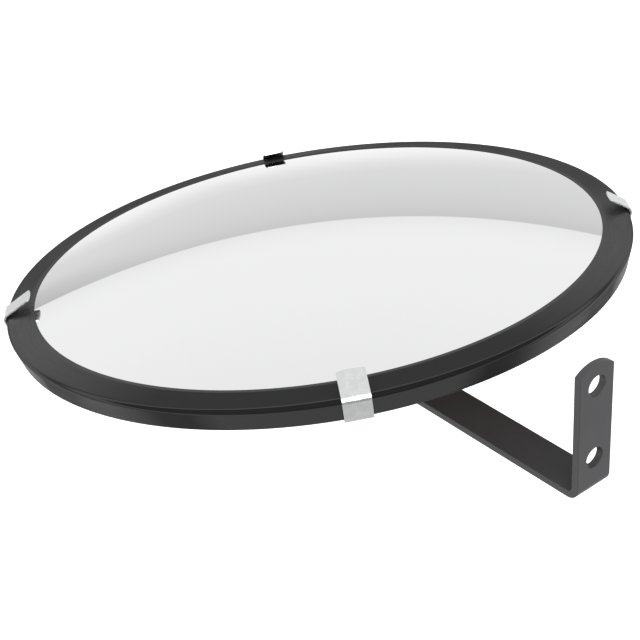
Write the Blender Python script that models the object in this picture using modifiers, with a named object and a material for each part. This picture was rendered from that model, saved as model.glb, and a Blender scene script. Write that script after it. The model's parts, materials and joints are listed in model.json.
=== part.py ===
"""Round convex security mirror, face up on an L-shaped steel wall bracket.

Metres, +Z up. The wall is the plane Y = 0 and the arm runs out from it along +Y.
The origin is on the wall plate's outer face, midway between its two screw holes.
The mirror head turns about the vertical pan bolt and tips about the level tilt bolt.
"""

import math

import bmesh
import bpy
from mathutils import Matrix, Vector

# Gaps between neighbours
CLEARANCE = 0.0003            # pieces that bear on each other
SHANK_CLEARANCE = 0.0003      # round a bolt or a rivet in its hole
EAR_CLEARANCE = 0.0004        # mirror yoke between the fork's ears

# Mirror head, measured from the tilt axis towards the face
RIM_DIAMETER = 0.3050         # across the trim's crease
CREASE_HEIGHT = 0.0263        # tilt axis to the plane of the crease
HEAD_TILT = 7.44              # degrees the face leans from straight up, away from the wall
TRIM_FACE_WIDTH = 0.01435     # crease to the lip's inner edge
TRIM_FACE_RISE = 0.00192      # the lip's inner edge stands above the crease
TRIM_LIP_EDGE = 0.0004        # thickness of the lip at its inner edge
TRIM_DEPTH = 0.0104           # crease to the trim's back
TRIM_TAPER = 0.0029           # the side wall leans in by this much at the back
TRIM_BACK_WIDTH = 0.0088      # back flange, outer corner to inner edge
TRIM_SIDE_GAP = 0.0004        # dome and panel edge to the trim's side wall
TRIM_WALL = 0.0016            # side wall at the back corner
CREASE_ROUND = 0.0009
TRIM_ROUND = 0.0006

DOME_RADIUS = 0.640           # radius of curvature of the reflecting face
DOME_THICKNESS = 0.0020
PANEL_THICKNESS = 0.0040

# Spring steel clips that hook round the trim
CLIP_WIDTH = 0.0120
CLIP_THICKNESS = 0.0007
CLIP_GAP = 0.00045            # clip to trim, more than the trim's curve takes up over the clip's width
CLIP_HOOK_LENGTH = 0.0075     # under the trim's back
CLIP_BEND = 0.0028            # radius at the crease, to the middle of the strip
CLIP_HOOK_BEND = 0.0012
CLIP_ANGLES = (-121.7, -37.7, 61.6, 150.6)
CLIP_TIP_INSETS = (0.0116, 0.0092, 0.0113, 0.0135)  # crease to each hand-bent finger's tip, inwards
CLIP_TIP_RISES = (0.0072, 0.0071, 0.0044, 0.0077)   # each tip stands above the crease

# Flat bar of the wall bracket
BAR_WIDTH = 0.0196
BAR_THICKNESS = 0.0035
BAR_BEND_INSIDE = 0.0024
BAR_CROWN_RADIUS = 0.0163     # end crown, larger than half the bar's width
BAR_EDGE_ROUND = 0.0004
BAR_END_MARGIN = 0.0104       # hole centre to the crown's top
RIM_WALL_GAP = 0.0255         # wall to the rim's nearest edge
WALL_HOLE_DIAMETER = 0.0096
WALL_HOLE_SPACING = 0.0357
WALL_HOLE_LOW = 0.0184        # arm's underside to the lower hole

# Pan bolt and what is stacked on it
PAN_BOLT_DIAMETER = 0.0060
PAN_HEAD_ACROSS = 0.0100
PAN_HEAD_HEIGHT = 0.0040
PAN_NUT_HEIGHT = 0.0060
PAN_BOLT_PAST_NUT = 0.0020
PAN_WASHER_DIAMETER = 0.0180
PAN_WASHER_THICKNESS = 0.0010
NUT_WASHER_DIAMETER = 0.0125
NUT_WASHER_THICKNESS = 0.0012

# Swivel fork
FORK_GAP = 0.0156             # between the ears
FORK_THICKNESS = 0.0018
FORK_DEPTH = 0.0160           # along the arm
FORK_BEND_INSIDE = 0.0010
TILT_AXIS_OVER_BASE = 0.0116  # fork base's top to the tilt axis

# Tilt bolt and what is on it
TILT_BOLT_DIAMETER = 0.0050
TILT_HEAD_ACROSS = 0.0080
TILT_HEAD_HEIGHT = 0.0035
TILT_WASHER_DIAMETER = 0.0100
TILT_WASHER_THICKNESS = 0.0010
LOCK_WASHER_DIAMETER = 0.0092
LOCK_WASHER_THICKNESS = 0.0012
LOCK_WASHER_SLIT = 0.0008
TILT_BOLT_PAST_NUT = 0.0040

WING_HUB_DIAMETER = 0.0100
WING_HUB_TOP_DIAMETER = 0.0080
WING_HUB_HEIGHT = 0.0075
WING_SPAN = 0.0240
WING_THICKNESS = 0.0020
WING_RISE = 0.0045            # the wing tips stand above the hub

# Mirror yoke, riveted to the back panel
YOKE_THICKNESS = 0.0015
YOKE_LENGTH = 0.0600
YOKE_WIDTH = 0.0260
YOKE_CORNER = 0.0040
YOKE_EAR_RADIUS = 0.0065
RIVET_DIAMETER = 0.0032
RIVET_HEAD_DIAMETER = 0.0064
RIVET_HEAD_HEIGHT = 0.0011
RIVET_SPACING_X = 0.0460
RIVET_SPACING_Y = 0.0150
BURR_DIAMETER = 0.0080
BURR_THICKNESS = 0.0008
RIVET_TAIL_DIAMETER = 0.0048
RIVET_TAIL_HEIGHT = 0.0012

RING_STEPS = 80

# What follows from the sizes above
RIM_RADIUS = RIM_DIAMETER / 2
LIP_RADIUS = RIM_RADIUS - TRIM_FACE_WIDTH
LIP_TOP = CREASE_HEIGHT + TRIM_FACE_RISE
TRIM_BACK = CREASE_HEIGHT - TRIM_DEPTH
BACK_CORNER_RADIUS = RIM_RADIUS - TRIM_TAPER
CHANNEL_RADIUS = BACK_CORNER_RADIUS - TRIM_WALL
DOME_EDGE_RADIUS = CHANNEL_RADIUS - TRIM_SIDE_GAP


def sphere_height(radius, at, apex):
    """Height at a distance from the axis, on a sphere whose top is at apex."""
    return apex - radius + math.sqrt(radius**2 - at**2)


DOME_APEX = LIP_TOP - TRIM_LIP_EDGE - CLEARANCE - sphere_height(DOME_RADIUS, LIP_RADIUS, 0)
DOME_INNER_RADIUS = DOME_RADIUS - DOME_THICKNESS
DOME_EDGE_TOP = sphere_height(DOME_RADIUS, DOME_EDGE_RADIUS, DOME_APEX)
DOME_EDGE_BACK = sphere_height(DOME_INNER_RADIUS, DOME_EDGE_RADIUS, DOME_APEX - DOME_THICKNESS)
PANEL_FRONT = DOME_EDGE_BACK - CLEARANCE
PANEL_BACK = PANEL_FRONT - PANEL_THICKNESS
TRIM_FLOOR = PANEL_BACK - CLEARANCE
YOKE_FRONT = PANEL_BACK - CLEARANCE
YOKE_BACK = YOKE_FRONT - YOKE_THICKNESS

ARM_REACH = RIM_RADIUS + RIM_WALL_GAP
ARM_BOTTOM = -(WALL_HOLE_LOW + WALL_HOLE_SPACING / 2)
ARM_TOP = ARM_BOTTOM + BAR_THICKNESS
PLATE_TOP = WALL_HOLE_SPACING / 2 + BAR_END_MARGIN
PAN_WASHER_BASE = ARM_TOP + CLEARANCE
FORK_BASE = PAN_WASHER_BASE + PAN_WASHER_THICKNESS + CLEARANCE
FORK_FLOOR = FORK_BASE + FORK_THICKNESS
TILT_AXIS = Vector((0.0, ARM_REACH, FORK_FLOOR + TILT_AXIS_OVER_BASE))
FORK_HALF = FORK_GAP / 2 + FORK_THICKNESS
YOKE_EAR_OUTSIDE = FORK_GAP / 2 - EAR_CLEARANCE
HEAD_WASHER_FACE = FORK_HALF + CLEARANCE
HEAD_FACE = HEAD_WASHER_FACE + TILT_WASHER_THICKNESS + CLEARANCE
LOCK_WASHER_FACE = HEAD_FACE
WING_FACE = LOCK_WASHER_FACE + LOCK_WASHER_THICKNESS + CLEARANCE

TO_X = Matrix.Rotation(math.radians(90), 4, "Y")
TO_MINUS_X = Matrix.Rotation(math.radians(-90), 4, "Y")


# ---- scene, materials and small helpers

def clear_scene():
    for obj in list(bpy.data.objects):
        bpy.data.objects.remove(obj, do_unlink=True)


def new_collection(name, helper=False):
    collection = bpy.data.collections.new(name)
    bpy.context.scene.collection.children.link(collection)
    collection.hide_render = helper
    return collection


def new_material(name, color, roughness, metallic=0.0):
    material = bpy.data.materials.new(name)
    material.use_nodes = True
    shader = material.node_tree.nodes["Principled BSDF"]
    shader.inputs["Base Color"].default_value = (*color, 1.0)
    shader.inputs["Roughness"].default_value = roughness
    shader.inputs["Metallic"].default_value = metallic
    material.diffuse_color = (*color, 1.0)
    return material


def link(obj, material=None, parent=None, helper=False):
    (CUTTERS if helper else PARTS).objects.link(obj)
    if helper:
        obj.hide_render = True
        obj.display_type = "WIRE"
    if material:
        obj.data.materials.append(material)
    if parent:
        obj.parent = parent
    return obj


def rounded(points, radii, steps=5):
    """A path through points with each corner turned on its radius."""
    path = []
    for i, point in enumerate(points):
        here = Vector(point)
        radius = radii[i]
        if not radius:
            path.append(here)
            continue
        before = (Vector(points[i - 1]) - here).normalized()
        after = (Vector(points[(i + 1) % len(points)]) - here).normalized()
        half = before.angle(after) / 2
        centre = here + (before + after).normalized() * (radius / math.sin(half))
        start = here + before * (radius / math.tan(half)) - centre
        turn = math.pi - 2 * half
        if start.x * before.y - start.y * before.x > 0:
            turn = -turn
        for step in range(steps + 1):
            angle = turn * step / steps
            cos, sin = math.cos(angle), math.sin(angle)
            path.append(centre + Vector((start.x * cos - start.y * sin, start.x * sin + start.y * cos)))
    return path


def ribbon(path, thickness):
    """Closed outline of a strip bent along a path."""
    left, right = [], []
    for i, point in enumerate(path):
        along = path[min(i + 1, len(path) - 1)] - path[max(i - 1, 0)]
        side = Vector((-along.y, along.x)).normalized() * (thickness / 2)
        if 0 < i < len(path) - 1:
            first = (point - path[i - 1]).normalized()
            side /= max(0.5, abs(first.dot(along.normalized())))
        left.append(point + side)
        right.append(point - side)
    return left + right[::-1]


def arc(centre, radius, first, last, steps):
    """Points on an arc, angles in degrees."""
    angles = [math.radians(first + (last - first) * i / steps) for i in range(steps + 1)]
    return [Vector((centre[0] + radius * math.cos(a), centre[1] + radius * math.sin(a))) for a in angles]


def prism(name, outline, height, placed=None, **linked):
    """A flat outline in XY, extruded evenly both ways along Z."""
    curve = bpy.data.curves.new(name, "CURVE")
    curve.dimensions = "2D"
    curve.fill_mode = "BOTH"
    curve.extrude = height / 2
    spline = curve.splines.new("POLY")
    spline.points.add(len(outline) - 1)
    for corner, point in zip(outline, spline.points):
        point.co = (corner[0], corner[1], 0, 1)
    spline.use_cyclic_u = True
    guide = bpy.data.objects.new(name + "_curve", curve)
    bpy.context.scene.collection.objects.link(guide)
    graph = bpy.context.evaluated_depsgraph_get()
    flat = bpy.data.meshes.new_from_object(guide.evaluated_get(graph))
    bpy.data.objects.remove(guide)
    shape = bmesh.new()
    shape.from_mesh(flat)
    bpy.data.meshes.remove(flat)
    bmesh.ops.remove_doubles(shape, verts=shape.verts, dist=0.000001)
    bmesh.ops.dissolve_limit(shape, angle_limit=0.001, verts=shape.verts, edges=shape.edges)
    bmesh.ops.recalc_face_normals(shape, faces=shape.faces)
    if placed:
        bmesh.ops.transform(shape, matrix=placed, verts=shape.verts)
    return from_bmesh(name, shape, **linked)


def from_bmesh(name, shape, **linked):
    mesh = bpy.data.meshes.new(name)
    shape.to_mesh(mesh)
    shape.free()
    mesh.shade_smooth()
    mesh.set_sharp_from_angle(angle=math.radians(30))
    return link(bpy.data.objects.new(name, mesh), **linked)


def cylinder(name, diameter, height, steps=40, placed=None, **linked):
    shape = bmesh.new()
    bmesh.ops.create_cone(shape, cap_ends=True, segments=steps, radius1=diameter / 2,
                          radius2=diameter / 2, depth=height)
    if placed:
        bmesh.ops.transform(shape, matrix=placed, verts=shape.verts)
    return from_bmesh(name, shape, **linked)


def turned(name, outline, closed, steps=RING_STEPS, **linked):
    """A profile of (radius, height) turned about Z."""
    mesh = bpy.data.meshes.new(name)
    count = len(outline)
    edges = [(i, (i + 1) % count) for i in range(count if closed else count - 1)]
    mesh.from_pydata([(p[0], 0, p[1]) for p in outline], edges, [])
    obj = link(bpy.data.objects.new(name, mesh), **linked)
    screw = obj.modifiers.new("Turn", "SCREW")
    screw.axis = "Z"
    screw.angle = math.radians(360)
    screw.steps = steps
    screw.render_steps = steps
    screw.use_merge_vertices = True
    screw.merge_threshold = 0.00001
    screw.use_smooth_shade = True
    return obj


def combine(obj, other, operation):
    modifier = obj.modifiers.new(operation.title() + " " + other.name, "BOOLEAN")
    modifier.object = other
    modifier.operation = operation
    modifier.solver = "EXACT"


def drill(obj, diameter, centre, depth, direction=None, steps=40):
    """A round hole along Z, or along another direction given as a rotation."""
    placed = Matrix.Translation(centre)
    if direction:
        placed = placed @ direction
    hole = cylinder(obj.name + "_hole", diameter, depth, steps, placed, helper=True)
    hole.parent = obj.parent
    combine(obj, hole, "DIFFERENCE")


def ease_edges(obj, width, segments=1, angle=40):
    bevel = obj.modifiers.new("Eased edges", "BEVEL")
    bevel.width = width
    bevel.segments = segments
    bevel.limit_method = "ANGLE"
    bevel.angle_limit = math.radians(angle)


def ring_outline(inner, outer, low, high):
    """Washer section, from the inner top edge round by the outside."""
    return [(inner, high), (outer, high), (outer, low), (inner, low)]


# ---- mirror head

def mirror_dome(material, parent):
    rows = 9
    radii = [DOME_EDGE_RADIUS * i / rows for i in range(rows + 1)]
    face = [(r, sphere_height(DOME_RADIUS, r, DOME_APEX)) for r in radii]
    back = [(r, sphere_height(DOME_INNER_RADIUS, r, DOME_APEX - DOME_THICKNESS)) for r in radii]
    return turned("mirror_dome", face + back[::-1], False, material=material, parent=parent)


def back_panel(material, parent):
    ease = 0.0005
    radius = DOME_EDGE_RADIUS
    outline = [(0, PANEL_FRONT), (radius - ease, PANEL_FRONT), (radius, PANEL_FRONT - ease),
               (radius, PANEL_BACK + ease), (radius - ease, PANEL_BACK), (0, PANEL_BACK)]
    panel = turned("back_panel", outline, False, material=material, parent=parent)
    for x, y in rivet_places():
        middle = Vector((x, y, PANEL_BACK + PANEL_THICKNESS / 2))
        drill(panel, RIVET_DIAMETER + 2 * SHANK_CLEARANCE, middle, PANEL_THICKNESS * 2, steps=20)
    return panel


def edge_trim(material, parent):
    """U channel: sloping face, crease, tapered side wall and back flange."""
    under_lip_edge = LIP_TOP - TRIM_LIP_EDGE
    under_lip_corner = DOME_EDGE_TOP + CLEARANCE
    corners = [
        (LIP_RADIUS, LIP_TOP),
        (RIM_RADIUS, CREASE_HEIGHT),
        (BACK_CORNER_RADIUS, TRIM_BACK),
        (BACK_CORNER_RADIUS - TRIM_BACK_WIDTH, TRIM_BACK),
        (BACK_CORNER_RADIUS - TRIM_BACK_WIDTH, TRIM_FLOOR),
        (CHANNEL_RADIUS, TRIM_FLOOR),
        (CHANNEL_RADIUS, under_lip_corner),
        (LIP_RADIUS, under_lip_edge),
    ]
    rounds = [0.0004, CREASE_ROUND, TRIM_ROUND * 1.5, TRIM_ROUND, TRIM_ROUND, 0, 0, 0.0002]
    return turned("edge_trim", rounded(corners, rounds, 2), True, material=material, parent=parent)


def clip_path(tip_inset, tip_rise):
    """Middle of the clip's strip in the plane through the mirror's axis."""
    away = CLIP_GAP + CLIP_THICKNESS / 2
    lean = math.atan2(TRIM_TAPER, TRIM_DEPTH)
    side = Vector((math.cos(lean), -math.sin(lean))) * away
    crease = Vector((RIM_RADIUS, CREASE_HEIGHT)) + side
    corner = Vector((BACK_CORNER_RADIUS, TRIM_BACK)) + side
    down = (corner - crease).normalized()
    under = TRIM_BACK - away
    corner = crease + down * ((under - crease.y) / down.y)
    tip = Vector((RIM_RADIUS - tip_inset, CREASE_HEIGHT + tip_rise))
    hook = Vector((corner.x - CLIP_HOOK_LENGTH, under))
    bend = crease - down * CLIP_THICKNESS
    return rounded([hook, corner, bend, tip], [0, CLIP_HOOK_BEND, CLIP_BEND, 0], 7)


def rim_clips(material, parent):
    """A bent strip at each place round the trim, its finger bent by hand to its own tip."""
    upright = Matrix.Rotation(math.radians(90), 4, "X")
    places = zip(CLIP_ANGLES, CLIP_TIP_INSETS, CLIP_TIP_RISES)
    for number, (angle, tip_inset, tip_rise) in enumerate(places, 1):
        outline = ribbon(clip_path(tip_inset, tip_rise), CLIP_THICKNESS)
        clip = prism(f"rim_clip_{number}", outline, CLIP_WIDTH, upright,
                     material=material, parent=parent)
        clip.rotation_euler.z = math.radians(angle)


def rivet_places():
    return [(x * RIVET_SPACING_X / 2, y * RIVET_SPACING_Y / 2) for x in (-1, 1) for y in (-1, 1)]


def mirror_yoke(material, parent):
    """Plate on the mirror's back with two ears that straddle the tilt bolt."""
    half_x, half_y = YOKE_LENGTH / 2, YOKE_WIDTH / 2
    corners = [(half_x, half_y), (-half_x, half_y), (-half_x, -half_y), (half_x, -half_y)]
    middle = Matrix.Translation((0, 0, YOKE_BACK + YOKE_THICKNESS / 2))
    yoke = prism("mirror_yoke", rounded(corners, [YOKE_CORNER] * 4, 6), YOKE_THICKNESS, middle,
                 material=material, parent=parent)
    root = YOKE_BACK + YOKE_THICKNESS / 2
    ear_outline = [Vector((YOKE_EAR_RADIUS, root)), Vector((-YOKE_EAR_RADIUS, root))]
    ear_outline += arc((0, 0), YOKE_EAR_RADIUS, 180, 360, 16)
    stand = Matrix.Rotation(math.radians(90), 4, "Z") @ Matrix.Rotation(math.radians(90), 4, "X")
    for side in (-1, 1):
        across = Matrix.Translation((side * (YOKE_EAR_OUTSIDE - YOKE_THICKNESS / 2), 0, 0))
        ear = prism("mirror_yoke_ear", ear_outline, YOKE_THICKNESS, across @ stand,
                    helper=True, parent=parent)
        combine(yoke, ear, "UNION")
    drill(yoke, TILT_BOLT_DIAMETER + 2 * SHANK_CLEARANCE, (0, 0, 0), FORK_GAP * 2, TO_X)
    for x, y in rivet_places():
        drill(yoke, RIVET_DIAMETER + 2 * SHANK_CLEARANCE, (x, y, root), YOKE_THICKNESS * 3, steps=20)
    return yoke


def rivet(number, x, y, material, parent):
    """Head on the yoke, shank through yoke and panel, tail set over the burr."""
    head, shank, tail = RIVET_HEAD_DIAMETER / 2, RIVET_DIAMETER / 2, RIVET_TAIL_DIAMETER / 2
    head_face = YOKE_BACK - CLEARANCE
    tail_face = PANEL_FRONT + BURR_THICKNESS + 2 * CLEARANCE
    tail_top = tail_face + RIVET_TAIL_HEIGHT
    outline = [(0, tail_top), (tail * 0.6, tail_top), (tail, tail_top - RIVET_TAIL_HEIGHT / 2)]
    outline += [(tail, tail_face), (shank, tail_face), (shank, head_face), (head, head_face)]
    for step in range(1, 4):
        angle = math.radians(90 * step / 4)
        outline.append((head * math.cos(angle), head_face - RIVET_HEAD_HEIGHT * math.sin(angle)))
    outline.append((0, head_face - RIVET_HEAD_HEIGHT))
    piece = turned(f"rivet_{number}", outline, False, 20, material=material, parent=parent)
    piece.location = (x, y, 0)


def rivet_burr(number, x, y, material, parent):
    inner = RIVET_DIAMETER / 2 + SHANK_CLEARANCE
    low = PANEL_FRONT + CLEARANCE
    outline = ring_outline(inner, BURR_DIAMETER / 2, low, low + BURR_THICKNESS)
    piece = turned(f"rivet_burr_{number}", outline, True, 20, material=material, parent=parent)
    piece.location = (x, y, 0)


# ---- wall bracket

def wall_bracket(material):
    """Flat bar bent square: plate up the wall, arm out from it, both ends crowned."""
    half = BAR_THICKNESS / 2
    bend = BAR_BEND_INSIDE + half
    far = ARM_REACH + BAR_END_MARGIN * 1.5
    path = rounded([(half, PLATE_TOP * 1.5), (half, ARM_BOTTOM + half), (far, ARM_BOTTOM + half)],
                   [0, bend, 0], 12)
    side_view = Matrix.Rotation(math.radians(90), 4, "Z") @ Matrix.Rotation(math.radians(90), 4, "X")
    bar = prism("wall_bracket", ribbon(path, BAR_THICKNESS), BAR_WIDTH, side_view, material=material)

    wide = BAR_WIDTH / 2 + 0.001
    spread = math.degrees(math.asin(wide / BAR_CROWN_RADIUS))
    plate_centre = PLATE_TOP - BAR_CROWN_RADIUS
    outline = [Vector((-wide, ARM_BOTTOM * 2)), Vector((wide, ARM_BOTTOM * 2))]
    outline += arc((0, plate_centre), BAR_CROWN_RADIUS, 90 - spread, 90 + spread, 18)
    stand = Matrix.Rotation(math.radians(90), 4, "X")
    combine(bar, prism("plate_end_shape", outline, ARM_REACH * 3, stand, helper=True), "INTERSECT")

    arm_centre = ARM_REACH + BAR_END_MARGIN - BAR_CROWN_RADIUS
    outline = [Vector((-wide, -0.01)), Vector((wide, -0.01))]
    outline += arc((0, arm_centre), BAR_CROWN_RADIUS, 90 - spread, 90 + spread, 18)
    combine(bar, prism("arm_end_shape", outline, PLATE_TOP * 6, helper=True), "INTERSECT")

    for height in (-WALL_HOLE_SPACING / 2, WALL_HOLE_SPACING / 2):
        drill(bar, WALL_HOLE_DIAMETER, (0, half, height), BAR_THICKNESS * 3, stand, 48)
    middle = (0, ARM_REACH, ARM_BOTTOM + half)
    drill(bar, PAN_BOLT_DIAMETER + 2 * SHANK_CLEARANCE, middle, BAR_THICKNESS * 3)
    ease_edges(bar, BAR_EDGE_ROUND)
    return bar


def hex_head(name, across, height, base, placed, material, parent):
    """Plain hexagon, standing on base and growing along the placed Z axis."""
    middle = placed @ Matrix.Translation((0, 0, base + height / 2))
    return cylinder(name, across * 2 / math.sqrt(3), height, 6, middle, material=material, parent=parent)


def chamfer_cone(name, across, height, base, placed, parent=None):
    """Cone that leaves a hexagon's far face round, by intersection."""
    radius = across / math.sqrt(3)
    drop = height * 0.25
    outline = [(0, height), (across * 0.47, height), (radius * 1.1, height - drop * 1.6),
               (radius * 1.1, -height), (0, -height)]
    cone = turned(name, outline, False, 32, helper=True, parent=parent)
    cone.matrix_local = placed @ Matrix.Translation((0, 0, base))
    return cone


def pan_bolt(material, parent):
    """Hexagon bolt, head down on the fork's floor, shank through the arm."""
    seat = FORK_FLOOR + CLEARANCE - TILT_AXIS.z
    stack = 2 * CLEARANCE + NUT_WASHER_THICKNESS + PAN_NUT_HEIGHT + PAN_BOLT_PAST_NUT
    low = ARM_BOTTOM - TILT_AXIS.z - stack
    upright = Matrix.Identity(4)
    bolt = hex_head("pan_bolt", PAN_HEAD_ACROSS, PAN_HEAD_HEIGHT, seat, upright, material, parent)
    combine(bolt, chamfer_cone("pan_bolt_chamfer", PAN_HEAD_ACROSS, PAN_HEAD_HEIGHT, seat,
                               Matrix.Identity(4), parent), "INTERSECT")
    combine(bolt, bolt_shank("pan_bolt_shank", PAN_BOLT_DIAMETER, low, seat, parent), "UNION")
    return bolt


def bolt_shank(name, diameter, low, high, parent):
    """Shank with a turned point, run a little way into the head."""
    radius = diameter / 2
    point = diameter * 0.12
    into = 0.0005
    outline = [
        (0, high + into),
        (radius, high + into),
        (radius, low + point),
        (radius - point, low),
        (0, low),
    ]
    return turned(name, outline, False, 32, helper=True, parent=parent)


def washer(name, diameter, bore, low, thickness, placed, material, parent):
    outline = ring_outline(bore / 2, diameter / 2, low, low + thickness)
    piece = turned(name, outline, True, 32, material=material, parent=parent)
    piece.matrix_local = placed
    return piece


def pan_stack(bright, nylon, parent):
    """Nylon washer under the fork, then washer and lock nut under the arm."""
    still = Matrix.Identity(4)
    bore = PAN_BOLT_DIAMETER + 2 * SHANK_CLEARANCE
    level = TILT_AXIS.z
    washer("pan_washer_upper", PAN_WASHER_DIAMETER, bore, PAN_WASHER_BASE - level, PAN_WASHER_THICKNESS,
           still, nylon, parent)
    under = ARM_BOTTOM - level - CLEARANCE - NUT_WASHER_THICKNESS
    washer("pan_washer_lower", NUT_WASHER_DIAMETER, bore, under, NUT_WASHER_THICKNESS,
           still, bright, parent)
    seat = under - CLEARANCE
    flip = Matrix.Rotation(math.radians(180), 4, "X")
    nut = hex_head("pan_lock_nut", PAN_HEAD_ACROSS, PAN_NUT_HEIGHT, -seat, flip, bright, parent)
    cone = chamfer_cone("pan_nut_chamfer", PAN_HEAD_ACROSS, PAN_NUT_HEIGHT, -seat, flip, parent)
    combine(nut, cone, "INTERSECT")
    drill(nut, bore, (0, 0, seat - PAN_NUT_HEIGHT / 2), PAN_NUT_HEIGHT * 3)


# ---- swivel fork and tilt bolt

def swivel_fork(material, parent):
    """Steel strip bent to a U, ears rounded about the tilt axis."""
    half = FORK_THICKNESS / 2
    floor = FORK_BASE + half - TILT_AXIS.z
    outer = FORK_HALF - half
    top = FORK_DEPTH
    path = rounded([(-outer, top), (-outer, floor), (outer, floor), (outer, top)],
                   [0, FORK_BEND_INSIDE + half, FORK_BEND_INSIDE + half, 0], 6)
    front_view = Matrix.Rotation(math.radians(90), 4, "X")
    fork = prism("swivel_fork", ribbon(path, FORK_THICKNESS), FORK_DEPTH, front_view,
                 material=material, parent=parent)
    wide = FORK_DEPTH / 2
    below = floor * 2
    outline = [
        Vector((-wide - 0.001, below)),
        Vector((wide + 0.001, below)),
        Vector((wide + 0.001, -wide * 0.3)),
    ]
    outline += arc((0, 0), wide * 1.03, 0, 180, 20)
    outline += [Vector((-wide - 0.001, -wide * 0.3))]
    side_view = Matrix.Rotation(math.radians(90), 4, "Z") @ Matrix.Rotation(math.radians(90), 4, "X")
    ear_shape = prism("fork_ear_shape", outline, FORK_HALF * 4, side_view, helper=True, parent=parent)
    combine(fork, ear_shape, "INTERSECT")
    drill(fork, TILT_BOLT_DIAMETER + 2 * SHANK_CLEARANCE, (0, 0, 0), FORK_HALF * 4, TO_X)
    drill(fork, PAN_BOLT_DIAMETER + 2 * SHANK_CLEARANCE, (0, 0, floor), FORK_THICKNESS * 3)
    return fork


def tilt_bolt(material, parent):
    """Hexagon bolt across the fork, head towards +X and wing nut towards -X."""
    end = WING_FACE + WING_HUB_HEIGHT + TILT_BOLT_PAST_NUT
    bolt = hex_head("tilt_bolt", TILT_HEAD_ACROSS, TILT_HEAD_HEIGHT, HEAD_FACE, TO_X, material, parent)
    cone = chamfer_cone("tilt_bolt_chamfer", TILT_HEAD_ACROSS, TILT_HEAD_HEIGHT, HEAD_FACE,
                        TO_X, parent)
    combine(bolt, cone, "INTERSECT")
    shank = bolt_shank("tilt_bolt_shank", TILT_BOLT_DIAMETER, -end, HEAD_FACE, parent)
    shank.matrix_local = TO_X
    combine(bolt, shank, "UNION")
    return bolt


def tilt_washers(material, parent):
    bore = TILT_BOLT_DIAMETER + 2 * SHANK_CLEARANCE
    for name, side in (("tilt_washer_head", TO_X), ("tilt_washer_nut", TO_MINUS_X)):
        washer(name, TILT_WASHER_DIAMETER, bore, HEAD_WASHER_FACE, TILT_WASHER_THICKNESS,
               side, material, parent)


def tilt_lock_washer(material, parent):
    """Split ring with a slit cut across one side."""
    bore = TILT_BOLT_DIAMETER + 2 * SHANK_CLEARANCE
    ring = washer("tilt_lock_washer", LOCK_WASHER_DIAMETER, bore, LOCK_WASHER_FACE, LOCK_WASHER_THICKNESS,
                  TO_MINUS_X, material, parent)
    reach = LOCK_WASHER_DIAMETER
    outline = [(0, -LOCK_WASHER_SLIT / 2), (reach, -LOCK_WASHER_SLIT / 2),
               (reach, LOCK_WASHER_SLIT / 2), (0, LOCK_WASHER_SLIT / 2)]
    slant = Matrix.Rotation(math.radians(20), 4, "X")
    place = TO_MINUS_X @ Matrix.Translation((0, 0, LOCK_WASHER_FACE + LOCK_WASHER_THICKNESS / 2)) @ slant
    slit = prism("lock_washer_slit", outline, LOCK_WASHER_THICKNESS * 5, place, helper=True, parent=parent)
    combine(ring, slit, "DIFFERENCE")


def wing_nut(material, parent):
    """Coned hub with two wings that rise past its far face."""
    base, top = WING_HUB_DIAMETER / 2, WING_HUB_TOP_DIAMETER / 2
    outline = [(0, WING_HUB_HEIGHT), (top - 0.0004, WING_HUB_HEIGHT), (top, WING_HUB_HEIGHT - 0.0004),
               (base, 0.0004), (base - 0.0004, 0), (0, 0)]
    nut = turned("wing_nut", outline, False, 32, material=material, parent=parent)
    placed = TO_MINUS_X @ Matrix.Translation((0, 0, WING_FACE))
    nut.matrix_local = placed
    reach, rise = WING_SPAN / 2, WING_HUB_HEIGHT + WING_RISE
    corners = [(0, 0.0012), (reach * 0.55, 0.0030), (reach, WING_HUB_HEIGHT * 0.75), (reach, rise),
               (reach * 0.62, rise), (0, WING_HUB_HEIGHT * 0.72)]
    rounds = [0, 0.003, 0.0030, 0.0022, 0.0022, 0]
    wing_outline = rounded(corners, rounds, 5)
    stand = Matrix.Rotation(math.radians(90), 4, "X")
    for side in (0, 180):
        turn = Matrix.Rotation(math.radians(side), 4, "Z")
        wing = prism("wing_nut_wing", wing_outline, WING_THICKNESS, turn @ stand,
                     helper=True, parent=parent)
        wing.matrix_local = placed
        combine(nut, wing, "UNION")
    hole = cylinder("wing_nut_bore", TILT_BOLT_DIAMETER + 2 * SHANK_CLEARANCE, WING_HUB_HEIGHT * 4, 32,
                    helper=True, parent=parent)
    hole.matrix_local = placed
    combine(nut, hole, "DIFFERENCE")
    return nut


# ---- assembly

clear_scene()
PARTS = new_collection("convex_security_mirror")
CUTTERS = new_collection("cutters", helper=True)

mirror_face = new_material("mirrored_acrylic", (0.90, 0.91, 0.92), 0.03, 1.0)
hardboard = new_material("hardboard", (0.30, 0.19, 0.11), 0.75)
black_rubber = new_material("black_rubber", (0.035, 0.035, 0.037), 0.45)
zinc_strip = new_material("galvanised_strip", (0.66, 0.67, 0.67), 0.35, 1.0)
black_paint = new_material("black_painted_steel", (0.045, 0.045, 0.048), 0.40)
zinc_plate = new_material("zinc_plated_steel", (0.62, 0.63, 0.64), 0.30, 1.0)
nylon = new_material("white_nylon", (0.80, 0.79, 0.75), 0.50)
rivet_metal = new_material("rivet_aluminium", (0.75, 0.75, 0.76), 0.40, 1.0)

pan_axis = bpy.data.objects.new("pan_axis", None)
pan_axis.location = TILT_AXIS
PARTS.objects.link(pan_axis)
tilt_axis = bpy.data.objects.new("tilt_axis", None)
tilt_axis.parent = pan_axis
tilt_axis.rotation_euler = (math.radians(-HEAD_TILT), 0, 0)
PARTS.objects.link(tilt_axis)

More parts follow.
